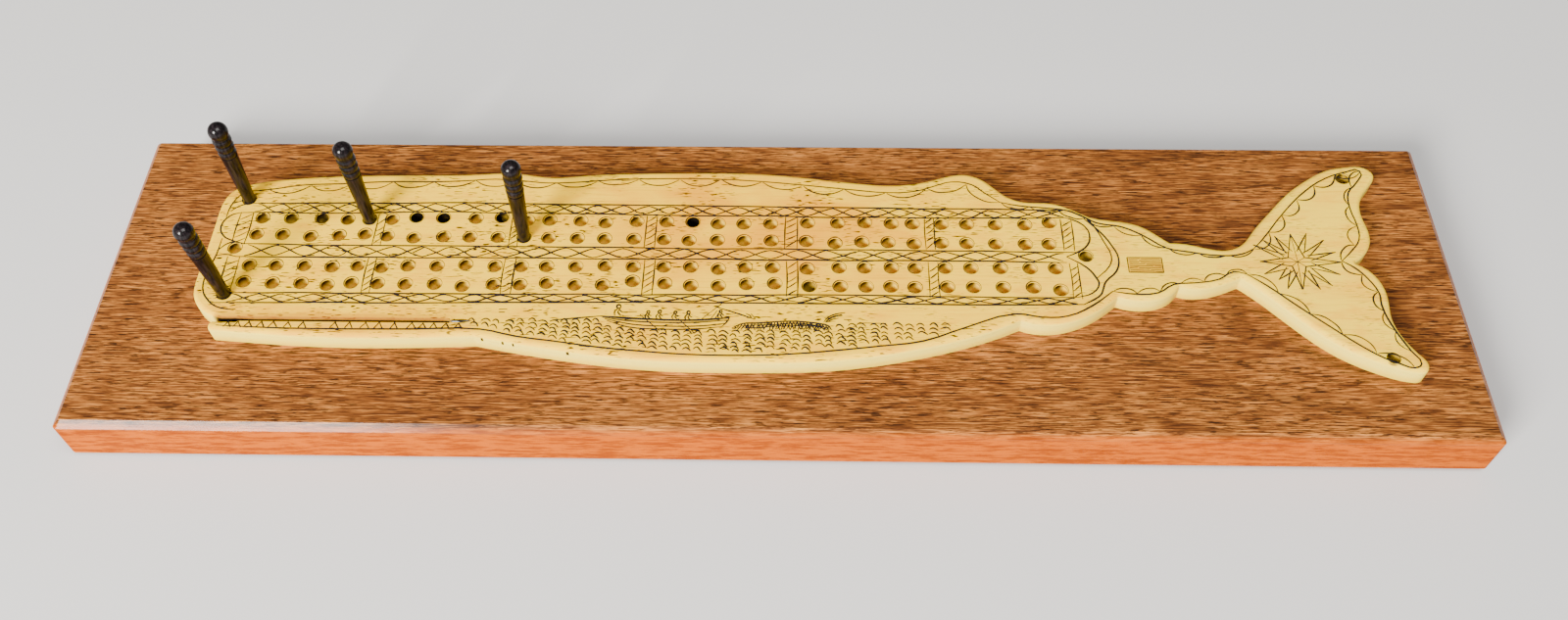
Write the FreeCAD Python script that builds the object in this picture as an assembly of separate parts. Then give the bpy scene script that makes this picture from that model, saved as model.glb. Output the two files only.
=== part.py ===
"""Cribbage board: a whale-shaped bone plate on a wooden plank, with four turned pegs.

The origin is on the surface that the board stands on, under the middle of the plank.
+X runs along the board towards the tail, +Y towards the whale's back and +Z up. Millimetres.
"""
import FreeCAD, Part
import math
import os

from FreeCAD import Vector

# Whale plate
WHALE_LENGTH = 290.0          # from the blunt head to the tips of the flukes
WHALE_WIDTH = 62.5            # across the flukes
PLATE_THICKNESS = 4.8
EDGE_ROUND = 1.1              # rounding of the plate's upper edge
CUSP_ROUND = 0.4              # saw-blade radius left in each inside corner of the outline
JAW_TIP_ROUND = 1.15          # corners of the tip of the jaw
LIP_CORNER_ROUND = 5.0        # where the blunt head turns into the mouth
KERF_END_ROUND = 0.3

# Mouth, a saw kerf between the upper head and the lower jaw
KERF_WIDTH = 0.7
KERF_EDGE_BREAK = 0.25        # small flat on the jaw's side of the kerf
MOUTH_END_WIDTH = 1.2         # pointed opening at the back of the mouth

# Plank
END_MARGIN = 20.0             # plank beyond the drawn whale, at each end
SIDE_MARGIN = 13.25           # plank beyond the drawn whale, along each side
PLANK_THICKNESS = 12.7
PLANK_CHAMFER = 1.6           # 45 degree flat along the top edges
PLANK_CORNER_ROUND = 1.0      # upright corners
PLANK_TOP_CORNER_ROUND = 0.5  # corners of the top face
PLANK_FOOT_ROUND = 0.6        # bottom edges

# Peg holes
HOLE_DIAMETER = 3.15          # 1/8 inch drill
HOLE_EDGE_BREAK = 0.12        # broken edge at each mouth

# Pegs
PEG_BALL_DIAMETER = 4.7
PEG_BEAD_DIAMETER = 4.55      # the uppermost bead; each one below is PEG_BEAD_STEP smaller
PEG_BEAD_STEP = 0.12
PEG_BEAD_PITCH = 2.15
PEG_BEAD_COUNT = 3
PEG_GROOVE_DEPTH = 0.3        # of the grooves that separate the beads
PEG_NECK_LENGTH = 0.5         # between the ball and the first bead
PEG_SHOULDER_DIAMETER = 4.1   # top of the shank
PEG_SHANK_LENGTH = 16.9       # from the beads down to the plate
PEG_TIP_DIAMETER = 2.2        # lower end of the peg
PEG_TIP_ROUND = 0.5
PEG_FIT_CLEARANCE = 0.07      # radial, where the shank enters its hole
PEG_TIP_CLEARANCE = 0.05      # under the tip, above the plank

# Screws that hold the plate down, from below
SCREW_DIAMETER = 2.8
SCREW_BITE = 3.2              # length of thread inside the plate
SCREW_HEAD_DIAMETER = 5.2
SCREW_HEAD_HEIGHT = 1.7
SCREW_SLOT_WIDTH = 0.8
SCREW_SLOT_DEPTH = 0.8
SCREW_SHANK_CLEARANCE = 0.05  # radial, in the plank
SCREW_HEAD_CLEARANCE = 0.6    # radial, in the counterbore
COUNTERBORE_DEPTH = 4.0

# Felt pads under the corners
PAD_DIAMETER = 12.0
PAD_THICKNESS = 1.2
PAD_INSET = 14.0              # from each edge of the plank to the pad's centre

# The outline and the holes are drawn at this size and stretched to the sizes above.
DRAWN_LENGTH = 290.0
DRAWN_WIDTH = 62.5

PLANK_LENGTH = WHALE_LENGTH + 2 * END_MARGIN
PLANK_WIDTH = WHALE_WIDTH + 2 * SIDE_MARGIN
PLANK_TOP = PAD_THICKNESS + PLANK_THICKNESS
PLATE_TOP = PLANK_TOP + PLATE_THICKNESS
SLACK = 1.0                   # overshoot of a cutting solid beyond the face that it opens

# Outline of the whale, run by run; neighbouring runs meet at an inside corner.
# The head starts at the end of the upper lip.
HEAD_AND_BACK = [
    (-133.9, -15.9), (-137.2, -13.4), (-139.1, -10.0),
    (-139.6, -5.0), (-139.4, 5.0), (-139.4, 14.0), (-139.1, 19.2), (-137.4, 22.8),
    (-133.4, 25.0), (-127.0, 26.4), (-118.0, 27.5), (-103.0, 28.3), (-88.0, 28.6),
    (-77.0, 28.9), (-69.0, 29.4), (-63.0, 28.9), (-56.5, 28.0), (-49.0, 28.7),
    (-38.0, 29.5), (-16.0, 29.95), (-3.0, 29.6), (9.0, 28.3), (20.0, 26.8), (29.0, 26.2),
    (36.0, 27.0), (42.0, 28.9), (47.5, 29.9), (52.0, 28.1), (56.0, 24.2), (61.0, 21.2),
    (68.0, 20.7), (73.0, 18.9), (77.5, 16.3), (84.0, 15.0), (90.0, 13.2), (94.3, 9.8),
    (96.1, 8.2),
]
STEM_AND_REAR_FLUKE = [
    (96.1, 8.2), (99.0, 8.1), (104.0, 6.9), (109.0, 6.1), (113.0, 7.6), (117.0, 12.3),
    (122.2, 18.5), (128.0, 24.8), (134.0, 29.5), (139.0, 32.3), (144.0, 33.4),
    (148.5, 33.1), (150.3, 31.0), (148.3, 27.0), (145.2, 22.2), (144.4, 17.8),
    (145.0, 11.5), (144.0, 7.4), (141.6, 4.4), (139.3, 2.4),
]
FRONT_FLUKE = [
    (139.3, 2.4), (141.8, 0.8), (144.0, -2.4), (145.0, -7.5), (144.5, -14.0),
    (145.7, -19.2), (148.5, -24.2), (149.8, -26.9), (149.0, -28.7), (146.3, -29.0),
    (140.0, -27.0), (132.0, -22.7), (123.0, -14.4), (115.0, -5.6), (111.5, -2.4),
]
STEM_UNDERSIDE = [(111.5, -2.4), (107.0, -4.4), (102.0, -5.7), (96.5, -5.1)]
SECOND_SCALLOP = [(96.5, -5.1), (93.0, -8.2), (87.5, -9.5), (81.6, -8.3)]
FIRST_SCALLOP = [(81.6, -8.3), (76.0, -12.8), (70.0, -15.7), (64.5, -16.7), (58.2, -15.5)]
BELLY = [
    (58.2, -15.5), (45.0, -20.9), (30.0, -24.9), (14.0, -27.5), (-6.0, -28.3),
    (-25.0, -28.1), (-42.0, -26.5), (-58.0, -23.9), (-70.0, -21.5),
]
JAW = [
    (-70.0, -21.5), (-84.0, -22.1), (-100.0, -22.3), (-116.0, -21.7), (-126.0, -20.9),
    (-133.3, -20.3),
]
SHORT_RUNS = [STEM_AND_REAR_FLUKE, FRONT_FLUKE, STEM_UNDERSIDE, SECOND_SCALLOP, FIRST_SCALLOP,
              BELLY]

# Middle line of the mouth, from the end of the upper lip to the pointed back end.
LIP_END = (-130.5, -17.5)
KERF_START = (-129.0, -17.5)
NOTCH_END = (-126.6, -17.5)
MOUTH_BACK_START = (-77.0, -17.5)
MOUTH_BACK_END = (-70.4, -17.3)

# Peg holes: thirty marks along the tracks, in groups of five, shared by four rows.
COLUMN_GROUPS = [
    (-127.5, -121.0, -114.0, -107.0, -101.0),
    (-95.0, -88.8, -81.7, -74.5, -67.6),
    (-61.2, -55.1, -48.0, -41.3, -34.1),
    (-26.7, -20.2, -13.6, -7.1, -0.4),
    (8.1, 15.5, 21.7, 28.1, 33.9),
    (41.0, 47.2, 54.2, 61.4, 67.5),
]
ROW_ENDS = [(13.5, 13.1), (8.3, 7.0), (-1.4, -0.4), (-6.8, -6.2)]   # y at the head and tail
ROW_SHIFTS = [-0.1, -0.4, 0.1, 0.4]                                 # of each row along X

# Hand drilling: in each row, the holes that strayed well off their marks, and how far.
STRAYS = [
    {1: (0.7, 0.0), 2: (1.4, 0.1), 3: (0.9, -0.2), 4: (0.4, -0.2), 6: (-0.2, 0.7), 7: (-0.6, 0.6),
     8: (0.4, 0.5), 9: (-0.1, 0.9), 11: (-0.6, 0.1), 13: (-0.5, -0.5), 17: (-0.3, -0.5),
     18: (-0.5, -0.5), 19: (-0.6, -0.4), 22: (0.5, 0.3), 23: (0.6, 0.0), 29: (0.0, 0.8)},
    {2: (0.0, -0.5), 4: (0.4, 0.5), 6: (0.5, -0.5), 7: (0.7, 0.0), 16: (-0.4, -0.2),
     21: (-0.4, -0.5), 24: (0.5, -0.3), 29: (-0.4, 0.1)},
    {3: (-0.2, -0.4), 5: (-0.1, -0.5), 8: (-0.3, 0.4), 13: (0.4, 0.3), 17: (0.1, -0.6),
     20: (-0.2, -0.4)},
    {0: (-0.5, 0.3), 3: (-0.6, -0.5), 4: (-0.9, 0.2), 5: (-0.5, 0.1), 8: (-0.5, -0.6),
     11: (0.3, 0.5), 14: (-0.1, 1.2), 15: (0.2, 0.6), 18: (0.2, 0.5), 19: (0.3, 0.8),
     23: (-0.6, 0.0), 24: (-0.6, -0.2), 29: (0.3, -0.7)},
]
START_HOLE = (-132.2, 3.9)
FINISH_HOLE = (75.2, 3.5)
REAR_HEAD_HOLE = (-132.4, 19.5)
FRONT_HEAD_HOLE = (-131.4, -10.2)
REAR_FLUKE_HOLE = (142.1, 29.0)
FRONT_FLUKE_HOLE = (142.0, -25.4)
SCREW_MARKS = [(-98.2, 3.4), (-30.4, 3.2), (37.4, 3.0), (104.0, 1.6)]


def at(mark):
    """Turn a drawn mark into its place on the plate."""
    return mark[0] * WHALE_LENGTH / DRAWN_LENGTH, mark[1] * WHALE_WIDTH / DRAWN_WIDTH


def track_hole(row, column):
    """Place of one track hole, with the stray of hand drilling."""
    marks = [mark for group in COLUMN_GROUPS for mark in group]
    share = (marks[column] - marks[0]) / (marks[-1] - marks[0])
    head_y, tail_y = ROW_ENDS[row]
    stray_x, stray_y = STRAYS[row].get(column, (0, 0))
    x = marks[column] + ROW_SHIFTS[row] + stray_x
    return at((x, head_y + (tail_y - head_y) * share + stray_y))


def track_holes():
    """Places of the holes of all four rows."""
    columns = sum(len(group) for group in COLUMN_GROUPS)
    return [track_hole(row, column) for row in range(len(ROW_ENDS)) for column in range(columns)]


# Each peg: node, the hole it stands in, and its lean towards +X and +Y in degrees.
PEGS = [
    ("peg_1", at(REAR_HEAD_HOLE), 2.3, -1.5),
    ("peg_2", track_hole(0, 4), 0.4, -0.9),
    ("peg_3", track_hole(1, 10), 2.6, -1.0),
    ("peg_4", at(FRONT_HEAD_HOLE), 0.3, -3.6),
]


def smooth_run(places):
    """One smooth run of the outline."""
    curve = Part.BSplineCurve()
    curve.interpolate([Vector(x, y, 0) for x, y in places])
    return curve.toShape()


def mouth_notch():
    """Corners of the open front of the mouth, from the foot of the jaw's tip to the upper lip."""
    jaw_end, notch_end, lip_end = at(JAW[-1]), at(NOTCH_END), at(LIP_END)
    lower_y = lip_end[1] - KERF_WIDTH / 2
    upper_y = lip_end[1] + KERF_WIDTH / 2
    return [jaw_end, (jaw_end[0], lower_y), (notch_end[0], lower_y), (notch_end[0], upper_y),
            (lip_end[0], upper_y)]


def outline_face():
    """Plan of the whale; the mouth opens as a notch behind the tip of the jaw."""
    notch = mouth_notch()
    back = notch[-1:] + [at(mark) for mark in HEAD_AND_BACK]
    runs = [back] + [[at(mark) for mark in run] for run in SHORT_RUNS + [JAW]]
    edges = [smooth_run(run) for run in runs]
    edges += [Part.makeLine(Vector(*start), Vector(*end)) for start, end in zip(notch, notch[1:])]
    return Part.Face(Part.Wire(edges))


def upright_rounds():
    """Radius of each kind of upright corner, with the places of those corners."""
    notch = mouth_notch()
    return [
        (CUSP_ROUND, [at(run[0]) for run in SHORT_RUNS + [JAW]]),
        (JAW_TIP_ROUND, notch[:2]),
        (KERF_END_ROUND, notch[2:4]),
        (LIP_CORNER_ROUND, notch[4:]),
    ]


def upright_edges_at(solid, places):
    """Upright edges of a solid that stand on the given places."""
    found = []
    for edge in solid.Edges:
        first, last = edge.Vertexes[0].Point, edge.Vertexes[-1].Point
        if abs(first.z - last.z) < PLATE_THICKNESS / 2:
            continue
        if any(math.hypot(first.x - x, first.y - y) < CUSP_ROUND / 2 for x, y in places):
            found.append(edge)
    return found


def edges_at_height(solid, height):
    """Edges of a solid that lie at one height all along."""
    return [edge for edge in solid.Edges
            if abs(edge.BoundBox.ZMin - height) < 0.01 and abs(edge.BoundBox.ZMax - height) < 0.01]


def rounded(solid, radius, edges):
    """The solid with the given edges rounded."""
    return solid.makeFillet(radius, edges).Solids[0]


def mouth_cutter():
    """The kerf of the mouth, with a rounded upper lip, and its pointed back end."""
    head_x, lip_y = at(KERF_START)
    back_x = at(MOUTH_BACK_START)[0] + SLACK
    bottom, top = PLANK_TOP - SLACK, PLATE_TOP + SLACK
    jaw_y = lip_y - KERF_WIDTH / 2
    upper_y = lip_y + KERF_WIDTH / 2
    corners = [
        Vector(head_x, upper_y, bottom),
        Vector(head_x, upper_y, PLATE_TOP - EDGE_ROUND),
        Vector(head_x, upper_y + EDGE_ROUND * (1 - math.cos(math.pi / 4)),
               PLATE_TOP - EDGE_ROUND * (1 - math.sin(math.pi / 4))),
        Vector(head_x, upper_y + EDGE_ROUND, PLATE_TOP),
        Vector(head_x, upper_y + EDGE_ROUND, top),
        Vector(head_x, jaw_y - KERF_EDGE_BREAK - SLACK, top),
        Vector(head_x, jaw_y, PLATE_TOP - KERF_EDGE_BREAK),
        Vector(head_x, jaw_y, bottom),
    ]
    lip = Part.Arc(corners[1], corners[2], corners[3]).toShape()
    chain = [Part.makeLine(corners[0], corners[1]), lip]
    chain += [Part.makeLine(corners[i], corners[i + 1]) for i in range(3, len(corners) - 1)]
    chain.append(Part.makeLine(corners[-1], corners[0]))
    kerf = Part.Face(Part.Wire(chain)).extrude(Vector(back_x - head_x, 0, 0))

    start = Vector(*at(MOUTH_BACK_START), bottom)
    end = Vector(*at(MOUTH_BACK_END), bottom)
    across = Vector(0, MOUTH_END_WIDTH / 2, 0)
    middle = (start + end) * 0.5
    sides = [Part.Arc(start, middle + across, end).toShape(),
             Part.Arc(end, middle - across, start).toShape()]
    back_end = Part.Face(Part.Wire(sides)).extrude(Vector(0, 0, top - bottom))
    return [kerf, back_end]


def hole_cutter(place):
    """A drilled peg hole with a broken edge."""
    x, y = place
    radius = HOLE_DIAMETER / 2
    profile = [
        Vector(0, 0, PLANK_TOP - SLACK), Vector(radius, 0, PLANK_TOP - SLACK),
        Vector(radius, 0, PLATE_TOP - HOLE_EDGE_BREAK),
        Vector(radius + HOLE_EDGE_BREAK + SLACK, 0, PLATE_TOP + SLACK),
        Vector(0, 0, PLATE_TOP + SLACK), Vector(0, 0, PLANK_TOP - SLACK),
    ]
    cutter = Part.Face(Part.makePolygon(profile)).revolve(Vector(0, 0, 0), Vector(0, 0, 1), 360)
    return cutter.translated(Vector(x, y, 0))


def whale_plate():
    """The bone plate: rounded outline, mouth, peg holes and screw holes."""
    plate = outline_face().extrude(Vector(0, 0, PLATE_THICKNESS))
    plate.translate(Vector(0, 0, PLANK_TOP))
    for radius, places in upright_rounds():
        plate = rounded(plate, radius, upright_edges_at(plate, places))
    plate = rounded(plate, EDGE_ROUND, edges_at_height(plate, PLATE_TOP))
    singles = [START_HOLE, FINISH_HOLE, REAR_HEAD_HOLE, FRONT_HEAD_HOLE, REAR_FLUKE_HOLE,
               FRONT_FLUKE_HOLE]
    places = track_holes() + [at(mark) for mark in singles]
    pilots = [Part.makeCylinder(SCREW_DIAMETER / 2, SCREW_BITE + SLACK,
                                Vector(*at(mark), PLANK_TOP - SLACK)) for mark in SCREW_MARKS]
    cutters = mouth_cutter() + [hole_cutter(place) for place in places] + pilots
    return plate.cut(cutters)


def rounded_rectangle(length, width, radius, height):
    """Closed wire of a rectangle with rounded corners, around the Z axis."""
    box = Part.makeBox(length, width, SLACK, Vector(-length / 2, -width / 2, height))
    upright = [edge for edge in box.Edges if edge.BoundBox.ZLength > SLACK / 2]
    box = rounded(box, radius, upright)
    return Part.Wire(Part.sortEdges(edges_at_height(box, height))[0])


def base_plank():
    """The wooden plank, with stepped screw holes from below."""
    foot = rounded_rectangle(PLANK_LENGTH, PLANK_WIDTH, PLANK_CORNER_ROUND, PAD_THICKNESS)
    shoulder = rounded_rectangle(PLANK_LENGTH, PLANK_WIDTH, PLANK_CORNER_ROUND,
                                 PLANK_TOP - PLANK_CHAMFER)
    top = rounded_rectangle(PLANK_LENGTH - 2 * PLANK_CHAMFER, PLANK_WIDTH - 2 * PLANK_CHAMFER,
                            PLANK_TOP_CORNER_ROUND, PLANK_TOP)
    plank = Part.makeLoft([foot, shoulder, top], True, True)
    plank = rounded(plank, PLANK_FOOT_ROUND, edges_at_height(plank, PAD_THICKNESS))
    shank_radius = SCREW_DIAMETER / 2 + SCREW_SHANK_CLEARANCE
    bore_radius = SCREW_HEAD_DIAMETER / 2 + SCREW_HEAD_CLEARANCE
    cutters = []
    for mark in SCREW_MARKS:
        foot = Vector(*at(mark), PAD_THICKNESS - SLACK)
        cutters.append(Part.makeCylinder(shank_radius, PLANK_THICKNESS + 2 * SLACK, foot))
        cutters.append(Part.makeCylinder(bore_radius, COUNTERBORE_DEPTH + SLACK, foot))
    return plank.cut(cutters)


def plate_screw(mark):
    """One slotted round-head screw, standing head down in its counterbore."""
    seat = PAD_THICKNESS + COUNTERBORE_DEPTH
    x, y = at(mark)
    length = PLANK_TOP + SCREW_BITE - seat
    screw = Part.makeCylinder(SCREW_DIAMETER / 2, length, Vector(x, y, seat))
    head = Part.makeCylinder(SCREW_HEAD_DIAMETER / 2, SCREW_HEAD_HEIGHT,
                             Vector(x, y, seat - SCREW_HEAD_HEIGHT))
    head = head.makeFillet(SCREW_HEAD_HEIGHT / 2, edges_at_height(head, seat - SCREW_HEAD_HEIGHT))
    slot = Part.makeBox(SCREW_HEAD_DIAMETER + 2 * SLACK, SCREW_SLOT_WIDTH, SCREW_SLOT_DEPTH + SLACK,
                        Vector(x - SCREW_HEAD_DIAMETER / 2 - SLACK, y - SCREW_SLOT_WIDTH / 2,
                               seat - SCREW_HEAD_HEIGHT - SLACK))
    return screw.fuse(head).cut(slot).removeSplitter()


def plate_screws():
    """The group of separate screws."""
    return Part.Compound([plate_screw(mark) for mark in SCREW_MARKS])


def felt_pad(side_x, side_y):
    """One round felt pad under a corner of the plank."""
    place = Vector(side_x * (PLANK_LENGTH / 2 - PAD_INSET), side_y * (PLANK_WIDTH / 2 - PAD_INSET), 0)
    return Part.makeCylinder(PAD_DIAMETER / 2, PAD_THICKNESS, place)


def peg_profile():
    """Half section of a peg as a face; its tip is at the origin and its axis is Z."""
    entry_radius = HOLE_DIAMETER / 2 - PEG_FIT_CLEARANCE
    tip_radius = PEG_TIP_DIAMETER / 2
    entry = PLATE_THICKNESS - PEG_TIP_CLEARANCE
    shoulder = entry + PEG_SHANK_LENGTH
    shoulder_radius = PEG_SHOULDER_DIAMETER / 2
    round_part = PEG_TIP_ROUND * math.sqrt(0.5)
    edges = [
        Part.makeLine(Vector(0, 0, 0), Vector(tip_radius - PEG_TIP_ROUND, 0, 0)),
        Part.Arc(Vector(tip_radius - PEG_TIP_ROUND, 0, 0),
                 Vector(tip_radius - PEG_TIP_ROUND + round_part, 0, PEG_TIP_ROUND - round_part),
                 Vector(tip_radius, 0, PEG_TIP_ROUND)).toShape(),
        Part.makeLine(Vector(tip_radius, 0, PEG_TIP_ROUND), Vector(entry_radius, 0, entry)),
        Part.makeLine(Vector(entry_radius, 0, entry), Vector(shoulder_radius, 0, shoulder)),
    ]
    height = shoulder
    for index in reversed(range(PEG_BEAD_COUNT)):
        bead_radius = PEG_BEAD_DIAMETER / 2 - index * PEG_BEAD_STEP / 2
        low = Vector(bead_radius - PEG_GROOVE_DEPTH, 0, height)
        crown = Vector(bead_radius, 0, height + PEG_BEAD_PITCH / 2)
        height += PEG_BEAD_PITCH
        high = Vector(bead_radius - PEG_GROOVE_DEPTH, 0, height)
        edges.append(Part.makeLine(edges[-1].Vertexes[-1].Point, low))
        edges.append(Part.Arc(low, crown, high).toShape())
    neck = Vector(high.x, 0, height + PEG_NECK_LENGTH)
    ball_radius = PEG_BALL_DIAMETER / 2
    centre_z = neck.z + math.sqrt(ball_radius ** 2 - neck.x ** 2)
    edges.append(Part.makeLine(high, neck))
    edges.append(Part.Arc(neck, Vector(ball_radius, 0, centre_z),
                          Vector(0, 0, centre_z + ball_radius)).toShape())
    edges.append(Part.makeLine(Vector(0, 0, centre_z + ball_radius), Vector(0, 0, 0)))
    return Part.Face(Part.Wire(edges))


def peg(place, lean_x, lean_y):
    """A peg leaning in its hole: its axis crosses the hole's axis at the plate's upper face."""
    turned = peg_profile().revolve(Vector(0, 0, 0), Vector(0, 0, 1), 360)
    entry = PLATE_THICKNESS - PEG_TIP_CLEARANCE
    pivot = Vector(0, 0, entry)
    turned.rotate(pivot, Vector(0, 1, 0), lean_x)
    turned.rotate(pivot, Vector(1, 0, 0), -lean_y)
    lean = math.radians(math.hypot(lean_x, lean_y))
    edge_drop = (PEG_TIP_DIAMETER / 2 - PEG_TIP_ROUND) * math.sin(lean)
    rise = entry * (math.cos(lean) - 1) + edge_drop
    turned.translate(Vector(*place, PLANK_TOP + PEG_TIP_CLEARANCE + rise))
    return turned


def save(node, shape):
    """Write one node and report its solids."""
    shape.exportStep(os.path.join("parts", node + ".step"))
    print(node, "solids", len(shape.Solids), "valid", shape.isValid(),
          "volume %.1f" % shape.Volume, "box", shape.BoundBox)


def main():
    """Build and write every node."""
    os.makedirs("parts", exist_ok=True)
    save("base_plank", base_plank())
    save("whale_plate", whale_plate())
    save("plate_screws", plate_screws())
    for node, place, lean_x, lean_y in PEGS:
        save(node, peg(place, lean_x, lean_y))
    corners = [(-1, -1), (1, -1), (1, 1), (-1, 1)]
    for number, (side_x, side_y) in enumerate(corners, start=1):
        save("felt_pad_%d" % number, felt_pad(side_x, side_y))


main()
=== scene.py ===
"""Looks of the whale-shaped cribbage board: finishes, inked drawing, light and camera.

Lengths in the drawing are millimetres on the plate's face, +X towards the tail and +Y
towards the whale's back; everything that is built is in metres.
"""
import logging
import math
import random
from dataclasses import dataclass, field
from enum import Enum
from typing import Iterable, Sequence, Union

import bmesh
import bpy
from mathutils import Euler, Matrix, Vector


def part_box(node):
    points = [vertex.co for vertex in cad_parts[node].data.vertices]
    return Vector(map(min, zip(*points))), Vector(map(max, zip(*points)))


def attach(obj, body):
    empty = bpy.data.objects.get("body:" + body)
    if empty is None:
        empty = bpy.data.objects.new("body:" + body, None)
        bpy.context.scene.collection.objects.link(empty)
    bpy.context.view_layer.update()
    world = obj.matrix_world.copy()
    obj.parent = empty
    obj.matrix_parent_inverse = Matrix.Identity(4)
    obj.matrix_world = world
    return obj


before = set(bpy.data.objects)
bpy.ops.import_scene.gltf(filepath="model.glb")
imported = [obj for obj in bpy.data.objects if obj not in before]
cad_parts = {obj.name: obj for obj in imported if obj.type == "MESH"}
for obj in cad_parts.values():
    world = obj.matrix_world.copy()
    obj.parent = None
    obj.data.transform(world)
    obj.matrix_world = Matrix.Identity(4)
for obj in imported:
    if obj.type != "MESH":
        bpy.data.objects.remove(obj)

LOG = logging.getLogger("cribbage_board")
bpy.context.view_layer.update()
MM = 0.001

Span = tuple[float, float]
Mark = tuple[float, float]
Path = tuple[Mark, ...]
Triple = tuple[float, float, float]
Colour = tuple[float, float, float, float]
Number = Union["Signal", float]
Paint = Union["Signal", Colour]
Material = bpy.types.Material


def shade(red: int, green: int, blue: int) -> Colour:
    """Give the linear colour of an eight-bit display colour.

    Args:
        red: red, 0 to 255.
        green: green, 0 to 255.
        blue: blue, 0 to 255.

    Returns:
        The colour as linear red, green, blue and an alpha of 1.
    """
    def linear(level: float) -> float:
        """Undo the display curve of one channel."""
        return level / 12.92 if level <= 0.04045 else ((level + 0.055) / 1.055) ** 2.4
    return (*(linear(level / 255) for level in (red, green, blue)), 1.0)


class Signal:
    """A node's output socket, used as a number in Python expressions."""

    def __init__(self, graph: "Graph", socket: bpy.types.NodeSocket) -> None:
        """Wrap one output socket of a graph."""
        self.graph = graph
        self.socket = socket

    def math(self, operation: str, *terms: Number) -> "Signal":
        """Add a Math node.

        Args:
            operation: the Math node's operation.
            *terms: its inputs, in order.

        Returns:
            The node's result.
        """
        return self.graph.out("ShaderNodeMath", {"operation": operation}, dict(enumerate(terms)))

    def __add__(self, other: Number) -> "Signal":
        """Sum."""
        return self.math("ADD", self, other)

    def __radd__(self, other: Number) -> "Signal":
        """Sum, number first."""
        return self.math("ADD", other, self)

    def __sub__(self, other: Number) -> "Signal":
        """Difference."""
        return self.math("SUBTRACT", self, other)

    def __rsub__(self, other: Number) -> "Signal":
        """Difference, number first."""
        return self.math("SUBTRACT", other, self)

    def __mul__(self, other: Number) -> "Signal":
        """Product."""
        return self.math("MULTIPLY", self, other)

    def __rmul__(self, other: Number) -> "Signal":
        """Product, number first."""
        return self.math("MULTIPLY", other, self)

    def __pow__(self, other: Number) -> "Signal":
        """Power."""
        return self.math("POWER", self, other)

    def ease(self, low: float, high: float) -> "Signal":
        """Rise smoothly from 0 at low to 1 at high.

        Args:
            low: the value that gives 0.
            high: the value that gives 1; it may be the smaller one.

        Returns:
            The eased value.
        """
        return self.graph.out("ShaderNodeMapRange", {"interpolation_type": "SMOOTHSTEP"},
                              {"Value": self, "From Min": low, "From Max": high})

    def larger(self, other: Number) -> "Signal":
        """Larger of two numbers."""
        return self.math("MAXIMUM", self, other)


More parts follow.
